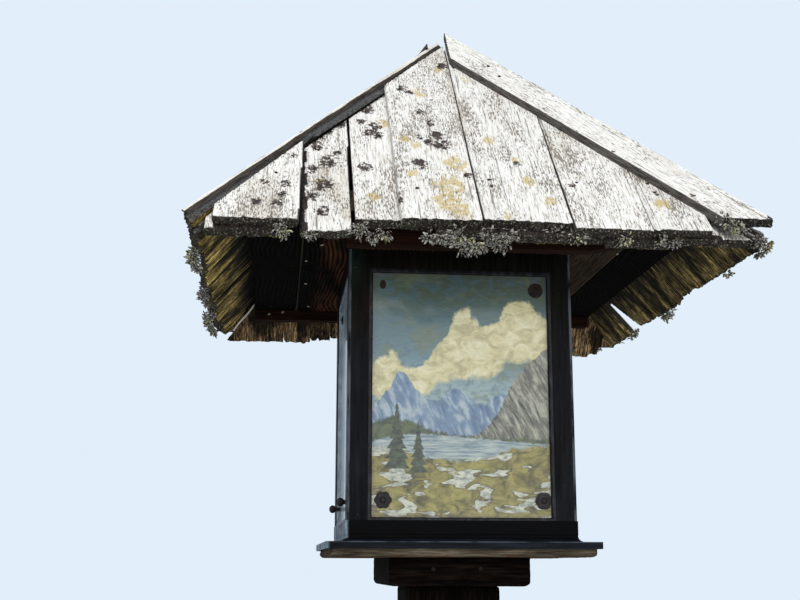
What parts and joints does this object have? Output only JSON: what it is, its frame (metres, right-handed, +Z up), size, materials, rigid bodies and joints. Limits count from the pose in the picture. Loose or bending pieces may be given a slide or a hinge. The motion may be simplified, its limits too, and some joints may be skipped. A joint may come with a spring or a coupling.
{
  "type": "wayside shrine",
  "caption": "Wayside shrine: a timber box with a painted sheet on each side, set on a square post under a steep four-sided board roof with cover boards on its hips.",
  "frame": {"origin": "centre of the post's foot at ground level", "axes": "+Z up, -Y towards the front, +X to the right of one who faces the front"},
  "size_m": [1.1307, 1.1267, 2.8504],
  "materials": {
    "roof_wood": "bleached, rough",
    "cover_wood": "bleached, rough",
    "post_wood": "dark stain, matte",
    "frame_wood": "black paint, satin",
    "deck_wood": "dark stain, matte",
    "tray_wood": "bare, weathered",
    "carrier_wood": "bare",
    "sheet_metal": "dull black sheet",
    "panel_paint": "painted sheet, matte"
  },
  "bodies": {
    "root": {"post": "post_wood", "bolster": "post_wood", "tray_boards": "tray_wood", "tray_sheet": "sheet_metal", "box_upstand": "sheet_metal", "deck_battens": "deck_wood", "roof_plate": "carrier_wood", "king_post": "carrier_wood", "hip_rafters": "carrier_wood", "corner_post_front_right": "frame_wood", "corner_post_back_right": "frame_wood", "corner_post_back_left": "frame_wood", "corner_post_front_left": "frame_wood", "bottom_rail_front": "frame_wood", "top_rail_front": "frame_wood", "panel_front": "panel_paint", "bead_front": "frame_wood", "roof_lower_front": "roof_wood", "roof_upper_front": "roof_wood", "hip_cover_front": "cover_wood", "bottom_rail_right": "frame_wood", "top_rail_right": "frame_wood", "panel_right": "panel_paint", "bead_right": "frame_wood", "roof_lower_right": "roof_wood", "roof_upper_right": "roof_wood", "hip_cover_right": "cover_wood", "bottom_rail_back": "frame_wood", "top_rail_back": "frame_wood", "panel_back": "panel_paint", "bead_back": "frame_wood", "roof_lower_back": "roof_wood", "roof_upper_back": "roof_wood", "hip_cover_back": "cover_wood", "bottom_rail_left": "frame_wood", "top_rail_left": "frame_wood", "panel_left": "panel_paint", "bead_left": "frame_wood", "roof_lower_left": "roof_wood", "roof_upper_left": "roof_wood", "hip_cover_left": "cover_wood", "deck_plank_left_outer": "deck_wood", "deck_plank_left_inner": "deck_wood", "deck_plank_right_inner": "deck_wood", "deck_plank_right_outer": "deck_wood"}
  },
  "joints": []
}
